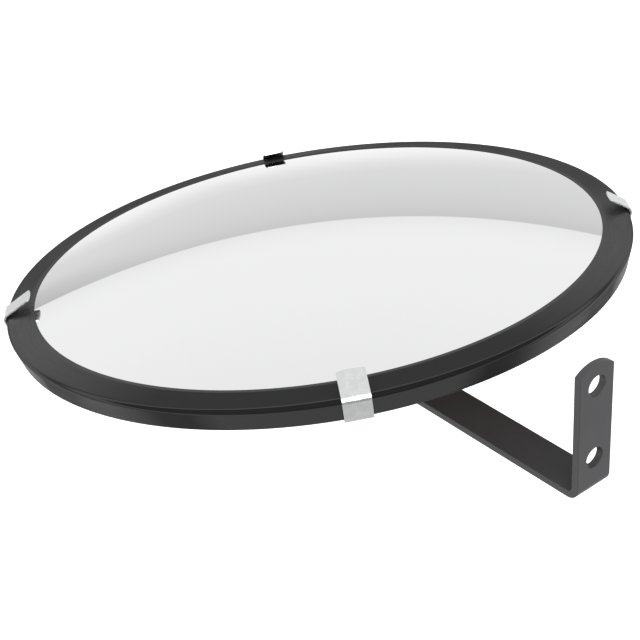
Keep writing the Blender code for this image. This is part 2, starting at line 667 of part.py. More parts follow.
wall_bracket(black_paint)
pan_bolt(zinc_plate, pan_axis)
pan_stack(zinc_plate, nylon, pan_axis)
swivel_fork(zinc_strip, pan_axis)
tilt_bolt(zinc_plate, pan_axis)
tilt_washers(zinc_plate, pan_axis)
tilt_lock_washer(zinc_plate, pan_axis)
wing_nut(zinc_plate, pan_axis)

mirror_dome(mirror_face, tilt_axis)
back_panel(hardboard, tilt_axis)
edge_trim(black_rubber, tilt_axis)
rim_clips(zinc_strip, tilt_axis)
mirror_yoke(zinc_strip, tilt_axis)
for number, (x, y) in enumerate(rivet_places(), 1):
    rivet(number, x, y, rivet_metal, tilt_axis)
    rivet_burr(number, x, y, rivet_metal, tilt_axis)
bpy.context.view_layer.update()
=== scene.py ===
# Looks for a convex security mirror on a bent wall arm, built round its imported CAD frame.
import json
import math

import bmesh
import bpy
from mathutils import Matrix, Vector


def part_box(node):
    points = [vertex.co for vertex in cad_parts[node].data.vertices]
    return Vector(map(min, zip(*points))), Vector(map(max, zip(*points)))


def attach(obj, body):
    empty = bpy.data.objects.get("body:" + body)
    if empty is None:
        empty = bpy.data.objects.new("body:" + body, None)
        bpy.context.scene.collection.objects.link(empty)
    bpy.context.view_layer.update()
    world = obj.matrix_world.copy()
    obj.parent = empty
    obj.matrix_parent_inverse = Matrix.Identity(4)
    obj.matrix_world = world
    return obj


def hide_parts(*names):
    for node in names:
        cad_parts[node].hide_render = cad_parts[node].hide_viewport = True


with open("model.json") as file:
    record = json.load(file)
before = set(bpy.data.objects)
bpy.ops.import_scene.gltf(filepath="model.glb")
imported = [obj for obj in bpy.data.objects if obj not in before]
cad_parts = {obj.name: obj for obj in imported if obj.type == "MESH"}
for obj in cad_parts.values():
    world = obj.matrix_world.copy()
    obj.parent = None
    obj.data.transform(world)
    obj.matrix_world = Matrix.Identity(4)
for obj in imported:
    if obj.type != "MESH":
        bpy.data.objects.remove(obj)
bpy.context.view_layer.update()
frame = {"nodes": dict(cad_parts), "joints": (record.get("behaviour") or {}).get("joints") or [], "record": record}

# Angle in degrees above which an edge is shaded sharp
SHARP = 32

# Sizes that the CAD nodes share, in metres
CLEARANCE = 0.0003
RIM_RADIUS = 0.1525
CREASE_HEIGHT = 0.0263
TRIM_FACE_WIDTH = 0.01435
TRIM_FACE_RISE = 0.00192
TRIM_LIP_EDGE = 0.0004
TRIM_DEPTH = 0.0104
TRIM_TAPER = 0.0029
TRIM_BACK_WIDTH = 0.0088
TRIM_SIDE_GAP = 0.0004
TRIM_WALL = 0.0016
DOME_RADIUS = 0.640
DOME_THICKNESS = 0.0020
PANEL_THICKNESS = 0.0040

CLIP_WIDTH = 0.0120
CLIP_THICKNESS = 0.0007
CLIP_GAP = 0.00045
CLIP_HOOK_LENGTH = 0.0075
CLIP_BEND = 0.0028
CLIP_HOOK_BEND = 0.0012
CLIP_ANGLES = (-121.7, -37.7, 61.6, 150.6)
CLIP_TIP_INSETS = (0.0116, 0.0092, 0.0080, 0.0135)
CLIP_TIP_RISES = (0.0072, 0.0071, 0.0046, 0.0077)

BAR_WIDTH = 0.0196
BAR_THICKNESS = 0.0035
BAR_BEND_INSIDE = 0.0024
BAR_CROWN_RADIUS = 0.0163
BAR_END_MARGIN = 0.0104
WALL_HOLE_DIAMETER = 0.0096
WALL_HOLE_SPACING = 0.0357

PAN_BOLT_DIAMETER = 0.0060
PAN_THREAD_PITCH = 0.0010
PAN_HEAD_ACROSS = 0.0100
PAN_WASHER_DIAMETER = 0.0180
NUT_WASHER_DIAMETER = 0.0125
FORK_GAP = 0.0156
FORK_THICKNESS = 0.0018
FORK_DEPTH = 0.0160
FORK_BEND_INSIDE = 0.0010
TILT_BOLT_DIAMETER = 0.0050
TILT_THREAD_PITCH = 0.0008
TILT_HEAD_ACROSS = 0.0080
TILT_WASHER_DIAMETER = 0.0100
LOCK_WASHER_DIAMETER = 0.0092
WING_HUB_DIAMETER = 0.0100
WING_HUB_TOP_DIAMETER = 0.0080
WING_HUB_HEIGHT = 0.0075
WING_SPAN = 0.0240
WING_THICKNESS = 0.0020
WING_RISE = 0.0045
EAR_CLEARANCE = 0.0004
YOKE_THICKNESS = 0.0015
YOKE_LENGTH = 0.0600
YOKE_WIDTH = 0.0260
YOKE_CORNER = 0.0040
YOKE_EAR_RADIUS = 0.0065
RIVET_DIAMETER = 0.0032
RIVET_HEAD_DIAMETER = 0.0064
RIVET_HEAD_HEIGHT = 0.0011
RIVET_SPACING_X = 0.0460
RIVET_SPACING_Y = 0.0150
BURR_DIAMETER = 0.0080
BURR_THICKNESS = 0.0008
RIVET_TAIL_DIAMETER = 0.0048
RIVET_TAIL_HEIGHT = 0.0012

RIVET_BORE = RIVET_DIAMETER + 2 * CLEARANCE
PAN_BORE = PAN_BOLT_DIAMETER + 2 * CLEARANCE
TILT_BORE = TILT_BOLT_DIAMETER + 2 * CLEARANCE

# Finer than the CAD: the dome's face rests nearer the trim's lip, the trim is butted at a
# seam, the clips' ends are rounded and bowed, and the lock washer is sprung
LIP_REST = 0.0004
SEAM_ANGLE = 74.0
SEAM_GAP = 0.00020
CLIP_CORNER = 0.0011
CLIP_BOW = 0.0005
CLIP_BOW_LENGTH = 0.004
LOCK_WASHER_SPRING = 0.0002

LIP_RADIUS = RIM_RADIUS - TRIM_FACE_WIDTH
LIP_TOP = CREASE_HEIGHT + TRIM_FACE_RISE
TRIM_BACK = CREASE_HEIGHT - TRIM_DEPTH
BACK_CORNER_RADIUS = RIM_RADIUS - TRIM_TAPER
CHANNEL_RADIUS = BACK_CORNER_RADIUS - TRIM_WALL
DOME_EDGE_RADIUS = CHANNEL_RADIUS - TRIM_SIDE_GAP

JOINTS = {joint["name"]: joint for joint in frame["joints"]}
TILT_AXIS = Vector(JOINTS["head_tilt"]["pos_m"])
BODY_OF = {name: body for body, members in frame["record"]["behaviour"]["bodies"].items()
           for name in members}


def cap(radius, at):
    """Drop of a sphere's surface at a distance from its axis."""
    return radius - math.sqrt(radius ** 2 - at ** 2)


DOME_APEX = LIP_TOP - TRIM_LIP_EDGE - CLEARANCE + cap(DOME_RADIUS, LIP_RADIUS)
DOME_INNER = DOME_RADIUS - DOME_THICKNESS
DOME_EDGE_TOP = DOME_APEX - cap(DOME_RADIUS, DOME_EDGE_RADIUS)
DOME_EDGE_BACK = DOME_APEX - DOME_THICKNESS - cap(DOME_INNER, DOME_EDGE_RADIUS)
TRIM_FLOOR = DOME_EDGE_BACK - PANEL_THICKNESS - 2 * CLEARANCE
PANEL_FRONT = DOME_EDGE_BACK - CLEARANCE
PANEL_BACK = PANEL_FRONT - PANEL_THICKNESS
YOKE_FRONT = PANEL_BACK - CLEARANCE
YOKE_BACK = YOKE_FRONT - YOKE_THICKNESS


def head_tilt():
    """How far the head leans at rest, from the trim's nearest and farthest points."""
    corners = [v.co for v in frame["nodes"]["edge_trim"].data.vertices]
    across = max(corners, key=lambda c: c.y) - min(corners, key=lambda c: c.y)
    return math.atan2(-across.z, across.y)


TILT = head_tilt()
HEAD = Matrix.Translation(TILT_AXIS) @ Matrix.Rotation(-TILT, 4, "X")
SWIVEL = Matrix.Translation(TILT_AXIS)

# Turns that lay a prism or a revolved shape, built along Z, along another axis
STAND = Matrix.Rotation(math.radians(90), 4, "X")
SIDE_VIEW = Matrix.Rotation(math.radians(90), 4, "Z") @ STAND
TO_X = Matrix.Rotation(math.radians(90), 4, "Y")
TO_MINUS_X = Matrix.Rotation(math.radians(-90), 4, "Y")


# ---- shapes

def rounded(points, radii, steps=6):
    """A path through points with each corner turned on its radius."""
    path = []
    for i, point in enumerate(points):
        here = Vector(point)
        radius = radii[i]
        if not radius:
            path.append(here)
            continue
        before = (Vector(points[i - 1]) - here).normalized()
        after = (Vector(points[(i + 1) % len(points)]) - here).normalized()
        half = before.angle(after) / 2
        centre = here + (before + after).normalized() * (radius / math.sin(half))
        start = here + before * (radius / math.tan(half)) - centre
        turn = math.pi - 2 * half
        if start.x * before.y - start.y * before.x > 0:
            turn = -turn
        for step in range(steps + 1):
            angle = turn * step / steps
            cos, sin = math.cos(angle), math.sin(angle)
            path.append(centre + Vector((start.x * cos - start.y * sin,
                                         start.x * sin + start.y * cos)))
    return path


def ribbon(path, thickness):
    """Closed outline of a strip bent along a path."""
    left, right = [], []
    for i, point in enumerate(path):
        along = path[min(i + 1, len(path) - 1)] - path[max(i - 1, 0)]
        side = Vector((-along.y, along.x)).normalized() * (thickness / 2)
        if 0 < i < len(path) - 1:
            first = (point - path[i - 1]).normalized()
            side /= max(0.5, abs(first.dot(along.normalized())))
        left.append(point + side)
        right.append(point - side)
    return left + right[::-1]


def arc(centre, radius, first, last, steps):
    """Points along part of a circle, from one angle in degrees to another."""
    angles = [math.radians(first + (last - first) * i / steps) for i in range(steps + 1)]
    return [Vector((centre[0] + radius * math.cos(a), centre[1] + radius * math.sin(a)))
            for a in angles]


def piece_of(name, shape, placed=None, sharp=SHARP):
    """A finished object from a bmesh, moved to its place and shaded smooth up to an angle."""
    if placed is not None:
        bmesh.ops.transform(shape, matrix=placed, verts=shape.verts)
    bmesh.ops.recalc_face_normals(shape, faces=shape.faces)
    mesh = bpy.data.meshes.new(name)
    shape.to_mesh(mesh)
    shape.free()
    mesh.shade_smooth()
    mesh.set_sharp_from_angle(angle=math.radians(sharp))
    obj = bpy.data.objects.new(name, mesh)
    bpy.context.scene.collection.objects.link(obj)
    return obj


def prism(name, outline, height, placed=None):
    """A flat outline in XY, extruded evenly both ways along Z, in the object's own frame."""
    shape = bmesh.new()
    low = [shape.verts.new((p[0], p[1], -height / 2)) for p in outline]
    high = [shape.verts.new((p[0], p[1], height / 2)) for p in outline]
    shape.faces.new(low[::-1])
    shape.faces.new(high)
    for i in range(len(outline)):
        j = (i + 1) % len(outline)
        shape.faces.new((low[i], low[j], high[j], high[i]))
    return piece_of(name, shape, placed)


def revolve(name, outline, segments, closed=True, first=0.0, last=360.0, placed=None, rise=0.0):
    """A profile of (radius, height) turned about Z. A part turn is capped and may rise."""
    shape = bmesh.new()
    full = abs(last - first) > 359.999 and not rise
    rings = []
    axis_points = {}
    for step in range(segments if full else segments + 1):
        part = step / segments
        angle = math.radians(first + (last - first) * part)
        ring = []
        for k, (radius, height) in enumerate(outline):
            if radius < 1e-9:
                if k not in axis_points:
                    axis_points[k] = shape.verts.new((0, 0, height))
                ring.append(axis_points[k])
            else:
                ring.append(shape.verts.new((radius * math.cos(angle), radius * math.sin(angle),
                                             height + rise * part)))
        rings.append(ring)
    count = len(outline)
    pairs = [(k, (k + 1) % count) for k in range(count if closed else count - 1)]
    turns = len(rings) if full else len(rings) - 1
    for step in range(turns):
        here, there = rings[step], rings[(step + 1) % len(rings)]
        for a, b in pairs:
            corners = []
            for vert in (here[a], there[a], there[b], here[b]):
                if vert not in corners:
                    corners.append(vert)
            if len(corners) > 2:
                shape.faces.new(corners)
    if not full:
        shape.faces.new(rings[0])
        shape.faces.new(rings[-1][::-1])
    return piece_of(name, shape, placed)


def threaded(name, diameter, pitch, low, high, smooth_from, segments=40):
    """A shank along Z with a helical thread below smooth_from, and a turned point."""
    radius = diameter / 2
    depth = pitch * 0.54
    steps = 10
    rows = int(math.ceil((high - low) / pitch * steps))
    shape = bmesh.new()
    rings = []
    for row in range(rows + 1):
        z = low + (high - low) * row / rows
        ring = []
        for k in range(segments):
            turn = k / segments
            phase = (z / pitch - turn) % 1.0
            wave = min(1.0, max(0.0, abs(phase - 0.5) * 2.6 - 0.15))
            fade = min(1.0, max(0.0, (smooth_from - z) / (pitch * 0.8)))
            at = radius - depth * wave * fade
            at = min(at, radius - diameter * 0.12 + (z - low))
            angle = 2 * math.pi * turn
            ring.append(shape.verts.new((at * math.cos(angle), at * math.sin(angle), z)))
        rings.append(ring)
    for here, there in zip(rings, rings[1:]):
        for k in range(segments):
            j = (k + 1) % segments
            shape.faces.new((here[k], here[j], there[j], there[k]))
    shape.faces.new(rings[0][::-1])
    shape.faces.new(rings[-1])
    return piece_of(name, shape, sharp=60)


def ease(obj, width, segments, angle):
    """Rounds the edges that are sharper than an angle in degrees."""
    bevel = obj.modifiers.new("Eased edges", "BEVEL")
    bevel.width = width
    bevel.segments = segments
    bevel.limit_method = "ANGLE"
    bevel.angle_limit = math.radians(angle)
    bevel.harden_normals = True
    return settle(obj)


def settle(obj):
    """Turns an object's modifiers into its mesh."""
    bpy.context.view_layer.update()
    graph = bpy.context.evaluated_depsgraph_get()
    mesh = bpy.data.meshes.new_from_object(obj.evaluated_get(graph), depsgraph=graph)
    obj.modifiers.clear()
    obj.data = mesh
    return obj


def combine(obj, others, operation):
    """Exact Booleans with each of the others, which are used up."""
    for other in others:
        modifier = obj.modifiers.new(operation.title(), "BOOLEAN")
        modifier.object = other
        modifier.operation = operation
        modifier.solver = "EXACT"
    settle(obj)
    for other in others:
        bpy.data.objects.remove(other, do_unlink=True)
    obj.data.shade_smooth()
    obj.data.set_sharp_from_angle(angle=math.radians(SHARP))
    return obj


def rod(diameter, length, placed, steps=64):
    """A round cutter along the placed Z axis, centred on it."""
    outline = arc((0, 0), diameter / 2, 0, 360 - 360 / steps, steps - 1)
    return prism("cutter", outline, length, placed)


def moved(obj, placed):
    """Moves the mesh and leaves the object's origin where it is."""
    obj.data.transform(placed)
    return obj


def joined(name, pieces, placed=None, sharp=SHARP):
    """One object from several closed shapes, which are used up."""
    shape = bmesh.new()
    for piece in pieces:
        shape.from_mesh(piece.data)
        bpy.data.objects.remove(piece, do_unlink=True)
    return piece_of(name, shape, placed, sharp)


def hexagon(name, across, height):
    """Hexagon standing on Z = 0, its corners turned off at the top."""
    flat = arc((0, 0), across / math.sqrt(3), 0, 300, 5)
    body = prism(name, flat, height, Matrix.Translation((0, 0, height / 2)))
    wide, drop = across / math.sqrt(3) * 1.02, height * 0.125
    outline = [(0, height), (across * 0.475, height), (wide, height - drop), (wide, -height),
               (0.001, -height), (0, -height)]
    return combine(body, [revolve("cutter", outline, 72, closed=False)], "INTERSECT")


def washer(name, node, slot, outer, bore, low, thickness, placed):
    """Flat ring with eased edges, standing on low along the placed Z axis."""
    inner, outer, high = bore / 2, outer / 2, low + thickness
    ring = [(inner, high), (outer, high), (outer, low), (inner, low)]
    ease_by = min(0.0003, thickness * 0.25)
    radii = [ease_by * 0.5, ease_by, ease_by, ease_by * 0.5]
    piece = revolve(name, rounded(ring, radii, 4), 72, placed=placed)
    finish_piece(piece, node, slot)


# ---- node materials

class Graph:
    """Short calls for building a node tree."""

    def __init__(self, tree):
        self.tree = tree

    def node(self, kind, inputs=None, **settings):
        node = self.tree.nodes.new("ShaderNode" + kind)
        for key, value in settings.items():
            setattr(node, key, value)
        self.feed(node, inputs or {})
        return node

    def feed(self, node, inputs):
        for key, value in inputs.items():
            self.put(node.inputs[key], value)

    def put(self, socket, value):
        if isinstance(value, bpy.types.NodeSocket):
            self.tree.links.new(value, socket)
        else:
            socket.default_value = value

    def math(self, operation, *values):
        node = self.node("Math", operation=operation)
        for i, value in enumerate(values):
            self.put(node.inputs[i], value)
        return node.outputs[0]

    def spread(self, value, low, high, to_low=0.0, to_high=1.0, smooth=False):
        node = self.node("MapRange", {"Value": value, "From Min": low, "From Max": high,
                                      "To Min": to_low, "To Max": to_high})
        node.interpolation_type = "SMOOTHSTEP" if smooth else "LINEAR"
        return node.outputs[0]

    def ramp(self, value, stops, interpolation="LINEAR"):
        node = self.node("ValToRGB", {"Fac": value})
        node.color_ramp.interpolation = interpolation
        elements = node.color_ramp.elements
        while len(elements) < len(stops):
            elements.new(0.5)
        for element, (at, color) in zip(elements, stops):
            element.position = at
            element.color = (*color, 1.0) if hasattr(color, "__len__") else (color,) * 3 + (1.0,)
        return node.outputs["Color"]

    def mix(self, factor, one, other, blend="MIX"):
        node = self.node("Mix", data_type="RGBA", blend_type=blend)
        self.put(node.inputs[0], factor)
        for socket, value in ((node.inputs[6], one), (node.inputs[7], other)):
            if isinstance(value, tuple) and len(value) == 3:
                value = (*value, 1.0)
            self.put(socket, value)
        return node.outputs[2]

    def noise(self, where, scale, detail=3.0, roughness=0.55, distortion=0.0):
        node = self.node("TexNoise", {"Vector": where, "Scale": scale, "Detail": detail,
                                      "Roughness": roughness, "Distortion": distortion})
        return node.outputs[0]

    def stretched(self, where, x, y, z):
        node = self.node("VectorMath", {0: where, 1: (x, y, z)}, operation="MULTIPLY")
        return node.outputs[0]

    def dot(self, where, direction):
        node = self.node("VectorMath", {0: where, 1: direction}, operation="DOT_PRODUCT")
        return node.outputs["Value"]

    def bump(self, height, strength, distance, normal=None):
        inputs = {"Height": height, "Strength": strength, "Distance": distance}
        if normal is not None:
            inputs["Normal"] = normal
        return self.node("Bump", inputs).outputs[0]


def new_material(name, in_head=False):
    """A material, its graph and shader, and the rest position it is drawn in."""
    material = bpy.data.materials.new(name)
    material.use_nodes = True
    graph = Graph(material.node_tree)
    shader = material.node_tree.nodes["Principled BSDF"]
    where = graph.node("TexCoord").outputs["Object"]
    if in_head:
        turned = graph.node("Mapping", {"Vector": where}, vector_type="TEXTURE")
        turned.inputs["Location"].default_value = TILT_AXIS
        turned.inputs["Rotation"].default_value = (-TILT, 0, 0)
        where = turned.outputs[0]
    return material, graph, shader, where


def ring_coordinates(graph, where):
    """Object space unrolled about Z, as an angle, a radius and a height."""
    parts = graph.node("SeparateXYZ", {"Vector": where}).outputs
    angle = graph.math("ARCTAN2", parts["Y"], parts["X"])
    flat = graph.node("CombineXYZ", {"X": parts["X"], "Y": parts["Y"]}).outputs[0]
    radius = graph.node("VectorMath", {0: flat}, operation="LENGTH").outputs["Value"]
    return graph.node("CombineXYZ", {"X": angle, "Y": radius, "Z": parts["Z"]}).outputs[0]


def mirrored_acrylic():
    """Mirror: faint cloudiness, smears, fine scratches, dust and a slow wave."""
    material, graph, shader, where = new_material("mirrored_acrylic", in_head=True)
    cloud = graph.noise(where, 9.0, 2.0)
    smear = graph.noise(graph.stretched(where, 30, 90, 30), 1.0, 5.0, 0.6, 0.4)
    scratch = graph.noise(graph.stretched(where, 2500, 60, 60), 1.0, 2.0)
    dust = graph.noise(where, 1500.0, 1.0)
    speck = graph.spread(dust, 0.74, 0.80)
    tint = graph.mix(cloud, (0.893, 0.893, 0.899), (0.907, 0.907, 0.912))
    tint = graph.mix(graph.math("MULTIPLY", speck, 0.12), tint, (0.72, 0.72, 0.72))
    rough = graph.spread(smear, 0.35, 0.75, 0.010, 0.030)
    rough = graph.math("ADD", rough, graph.spread(scratch, 0.66, 0.80, 0.0, 0.015))
    wave = graph.bump(graph.noise(where, 14.0, 1.0), 1.0, 0.000004)
    graph.feed(shader, {"Base Color": tint, "Roughness": rough, "Normal": wave, "Metallic": 1.0})
    return material


# Painted sheen and shade on the trim's rubber: how shiny it is drawn, by the angle it is seen at, so that some
# sides look lit and others shaded: 0 is face on and 1 is edge on
RUBBER_PAINTED_SHEEN = [
    (0.0, 0.04), (0.24, 0.05), (0.29, 0.62), (0.36, 0.60), (0.40, 0.16), (0.45, 0.15),
    (0.50, 0.40), (0.56, 0.58), (0.62, 0.44), (0.68, 0.13), (0.80, 0.05), (0.90, 0.90),
]


def black_rubber():
    """Moulded strip: faint streaks along it, bloom, fine grain and a little lint, with sheen and shade painted on
    by the angle it is seen at.
    """
    material, graph, shader, where = new_material("black_rubber", in_head=True)
    around = ring_coordinates(graph, where)
    streak = graph.noise(graph.stretched(around, 7, 2600, 2600), 1.0, 3.0, 0.6)
    bloom = graph.noise(graph.stretched(around, 3, 160, 160), 1.0, 3.0, 0.5)
    grain = graph.noise(where, 5200.0, 2.0, 0.6)
    lint = graph.spread(graph.noise(where, 900.0, 2.0), 0.70, 0.76)
    tone = graph.mix(bloom, (0.009, 0.009, 0.0095), (0.015, 0.015, 0.016))
    tone = graph.mix(graph.spread(streak, 0.55, 0.80, 0.0, 0.35), tone, (0.026, 0.026, 0.027))
    tone = graph.mix(graph.math("MULTIPLY", lint, 0.25), tone, (0.07, 0.07, 0.068))
    rough = graph.spread(streak, 0.30, 0.75, 0.42, 0.54)
    rough = graph.math("ADD", rough, graph.spread(bloom, 0.3, 0.7, -0.03, 0.04))
    normal = graph.bump(streak, 0.35, 0.00004)
    normal = graph.bump(grain, 0.30, 0.00003, normal)
    # Painted sheen and shade: the rubber's shine is set by the angle the surface is seen at
    facing = graph.node("LayerWeight", {"Blend": 0.5}).outputs["Facing"]
    painted_sheen = graph.ramp(facing, RUBBER_PAINTED_SHEEN)
    graph.feed(shader, {"Base Color": tone, "Roughness": rough, "Normal": normal,
                        "Specular IOR Level": painted_sheen})
    return material


def galvanised_strip():
    """Zinc spangle over strip with drawing marks and scratches."""
    material, graph, shader, where = new_material("galvanised_strip")
    spangle = graph.node("TexVoronoi", {"Vector": where, "Scale": 420.0, "Randomness": 1.0})
    cell = graph.node("SeparateColor", {"Color": spangle.outputs["Color"]}).outputs[0]
    drawn = graph.noise(graph.stretched(where, 260, 260, 5200), 1.0, 4.0, 0.65)
    cloud = graph.noise(where, 260.0, 3.0)
    scratch = graph.noise(graph.stretched(where, 600, 9000, 600), 1.0, 1.0)
    tone = graph.mix(cell, (0.74, 0.75, 0.75), (0.82, 0.83, 0.83))
    tone = graph.mix(graph.spread(cloud, 0.35, 0.75, 0.0, 0.35), tone, (0.64, 0.65, 0.66))
    rough = graph.spread(cell, 0.0, 1.0, 0.20, 0.28)
    rough = graph.math("ADD", rough, graph.spread(cloud, 0.3, 0.7, -0.02, 0.07))
    rough = graph.math("ADD", rough, graph.spread(scratch, 0.62, 0.72, 0.0, 0.10))
    normal = graph.bump(drawn, 0.22, 0.00002)
    normal = graph.bump(scratch, 0.10, 0.00002, normal)
    graph.feed(shader, {"Base Color": tone, "Roughness": rough, "Normal": normal, "Metallic": 1.0})
    return material


def black_powder_coat():
    """Orange-peel paint, rubbed and chipped a little."""
    material, graph, shader, where = new_material("black_powder_coat")
    peel = graph.noise(where, 1500.0, 2.0, 0.5)
    fine = graph.noise(where, 6500.0, 2.0)
    cloud = graph.noise(where, 60.0, 3.0)
    rub = graph.noise(graph.stretched(where, 900, 120, 900), 1.0, 4.0, 0.65)
    chip = graph.spread(graph.noise(where, 700.0, 3.0), 0.72, 0.76)
    tone = graph.mix(cloud, (0.047, 0.047, 0.050), (0.058, 0.058, 0.061))
    tone = graph.mix(graph.spread(rub, 0.60, 0.80, 0.0, 0.45), tone, (0.085, 0.085, 0.089))
    tone = graph.mix(graph.math("MULTIPLY", chip, 0.35), tone, (0.12, 0.12, 0.12))
    rough = graph.spread(peel, 0.3, 0.7, 0.40, 0.50)
    rough = graph.math("ADD", rough, graph.spread(rub, 0.55, 0.8, 0.0, -0.08))
    normal = graph.bump(peel, 0.25, 0.00006)
    normal = graph.bump(fine, 0.15, 0.00002, normal)
    graph.feed(shader, {"Base Color": tone, "Roughness": rough, "Normal": normal,
                        "Specular IOR Level": 0.45})
    return material


def zinc_plate():
    """Turned and plated steel with pits."""
    material, graph, shader, where = new_material("zinc_plate")
    cloud = graph.noise(where, 420.0, 3.0)
    lathe = graph.noise(graph.stretched(where, 5200, 900, 900), 1.0, 3.0, 0.6)
    pit = graph.spread(graph.noise(where, 2600.0, 2.0), 0.66, 0.74)
    tone = graph.mix(cloud, (0.60, 0.63, 0.66), (0.74, 0.75, 0.75))
    tone = graph.mix(graph.math("MULTIPLY", pit, 0.5), tone, (0.34, 0.34, 0.33))
    rough = graph.spread(cloud, 0.3, 0.7, 0.24, 0.36)
    rough = graph.math("ADD", rough, graph.math("MULTIPLY", pit, 0.2))
    normal = graph.bump(lathe, 0.18, 0.00002)
    graph.feed(shader, {"Base Color": tone, "Roughness": rough, "Normal": normal, "Metallic": 1.0})
    return material


def rivet_aluminium():
    """Soft bright metal, scuffed."""
    material, graph, shader, where = new_material("rivet_aluminium")
    cloud = graph.noise(where, 700.0, 3.0)
    scuff = graph.noise(graph.stretched(where, 3000, 700, 700), 1.0, 3.0)
    tone = graph.mix(cloud, (0.76, 0.77, 0.78), (0.86, 0.86, 0.86))
    rough = graph.spread(scuff, 0.3, 0.75, 0.26, 0.42)
    normal = graph.bump(scuff, 0.2, 0.00002)
    graph.feed(shader, {"Base Color": tone, "Roughness": rough, "Normal": normal, "Metallic": 1.0})
    return material


def white_nylon():
    """Slightly yellowed plastic."""
    material, graph, shader, where = new_material("white_nylon")
    cloud = graph.noise(where, 300.0, 2.0)
    grain = graph.noise(where, 4200.0, 2.0)
    tone = graph.mix(cloud, (0.74, 0.73, 0.69), (0.83, 0.82, 0.78))
    rough = graph.spread(grain, 0.3, 0.7, 0.38, 0.50)
    normal = graph.bump(grain, 0.15, 0.00002)
    graph.feed(shader, {"Base Color": tone, "Roughness": rough, "Normal": normal})
    return material


WEAVE_PITCH = 0.0016


def hardboard():
    """Pressed fibre with the woven mark of the press screen on its back, the dips of the weave painted darker as
    shade.
    """
    material, graph, shader, where = new_material("hardboard", in_head=True)
    pitch = 2 * math.pi / WEAVE_PITCH
    parts = graph.node("SeparateXYZ", {"Vector": where}).outputs
    drift = graph.noise(where, 90.0, 2.0)
    shift = graph.spread(drift, 0.0, 1.0, -0.9, 0.9)
    across = graph.math("SINE", graph.math("ADD", graph.math("MULTIPLY", parts["X"], pitch), shift))
    along = graph.math("SINE", graph.math("ADD", graph.math("MULTIPLY", parts["Y"], pitch), shift))
    weave = graph.math("MULTIPLY", across, along)
    fibre = graph.noise(graph.stretched(where, 900, 2400, 900), 1.0, 4.0, 0.7, 0.6)
    cloud = graph.noise(where, 45.0, 4.0)
    fleck = graph.spread(graph.noise(where, 1300.0, 3.0), 0.62, 0.72)
    tone = graph.mix(fibre, (0.100, 0.062, 0.036), (0.180, 0.120, 0.072))
    tone = graph.mix(graph.spread(cloud, 0.35, 0.7, 0.0, 0.45), tone, (0.150, 0.085, 0.043))
    tone = graph.mix(graph.math("MULTIPLY", fleck, 0.5), tone, (0.050, 0.027, 0.014))
    # Painted shade: the weave's dips, which the bump sinks, are drawn darker
    tone = graph.mix(graph.spread(weave, -1.0, 0.2, 0.35, 0.0), tone, (0.060, 0.033, 0.017))
    rough = graph.spread(fibre, 0.3, 0.7, 0.62, 0.80)
    normal = graph.bump(weave, 0.45, 0.00012)
    normal = graph.bump(fibre, 0.35, 0.00006, normal)
    graph.feed(shader, {"Base Color": tone, "Roughness": rough, "Normal": normal,
                        "Specular IOR Level": 0.35})
    return material


MATERIALS = {
    "mirror_face": mirrored_acrylic(),
    "hardboard": hardboard(),
    "black_rubber": black_rubber(),
    "galvanised_strip": galvanised_strip(),
    "rivet_metal": rivet_aluminium(),
    "black_paint": black_powder_coat(),
    "white_nylon": white_nylon(),
    "zinc_plate": zinc_plate(),
}


def finish_piece(obj, node, slot):
    """Material, slot, and the CAD node that the piece stands for and rides with."""
    obj.data.materials.clear()
    obj.data.materials.append(MATERIALS[slot])
    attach(obj, BODY_OF[node])
    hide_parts(node)


# ---- mirror head

def build_mirror_face():
    """Sheet of even thickness, part of a sphere."""
    rows = 56
    radii = [DOME_EDGE_RADIUS * i / rows for i in range(rows + 1)]
    face = [(r, DOME_APEX + LIP_REST - cap(DOME_RADIUS, r)) for r in radii]
    back = [(r, DOME_APEX - DOME_THICKNESS - cap(DOME_INNER, r)) for r in radii[::4]]
    dome = revolve("mirror_face", face + back[::-1], 288, closed=False, placed=HEAD)
    finish_piece(dome, "mirror_dome", "mirror_face")


def build_trim():
    """U channel in one length, butted end to end beside the far clip."""
    lip_nose = LIP_TOP - 0.00018
    inner_face = Vector((LIP_RADIUS + 0.0020, LIP_TOP - 0.00020))
    crease = Vector((RIM_RADIUS, CREASE_HEIGHT))
    back = Vector((BACK_CORNER_RADIUS, TRIM_BACK))
    corners = [
        (LIP_RADIUS, lip_nose),
        inner_face,
        inner_face.lerp(crease, 0.12),
        crease.lerp(inner_face, 0.20),
        crease,
        crease.lerp(back, 0.20),
        back.lerp(crease, 0.14),
        back,
        (BACK_CORNER_RADIUS - TRIM_BACK_WIDTH, TRIM_BACK),
        (BACK_CORNER_RADIUS - TRIM_BACK_WIDTH, TRIM_FLOOR),
        (CHANNEL_RADIUS, TRIM_FLOOR),
        (CHANNEL_RADIUS, DOME_EDGE_TOP + LIP_REST + 0.0001),
        (LIP_RADIUS, LIP_TOP - TRIM_LIP_EDGE - CLEARANCE + LIP_REST + 0.00003),
    ]
    rounds = [0.00003, 0.0006, 0, 0, 0.0016, 0, 0] + [0.0006] * 3 + [0.0003] * 2 + [0.00003]
    outline = rounded(corners, rounds, 8)
    gap = math.degrees(SEAM_GAP / RIM_RADIUS)
    trim = revolve("rubber_trim", outline, 360, first=SEAM_ANGLE + gap / 2,
                   last=SEAM_ANGLE + 360 - gap / 2, placed=HEAD)
    finish_piece(trim, "edge_trim", "black_rubber")


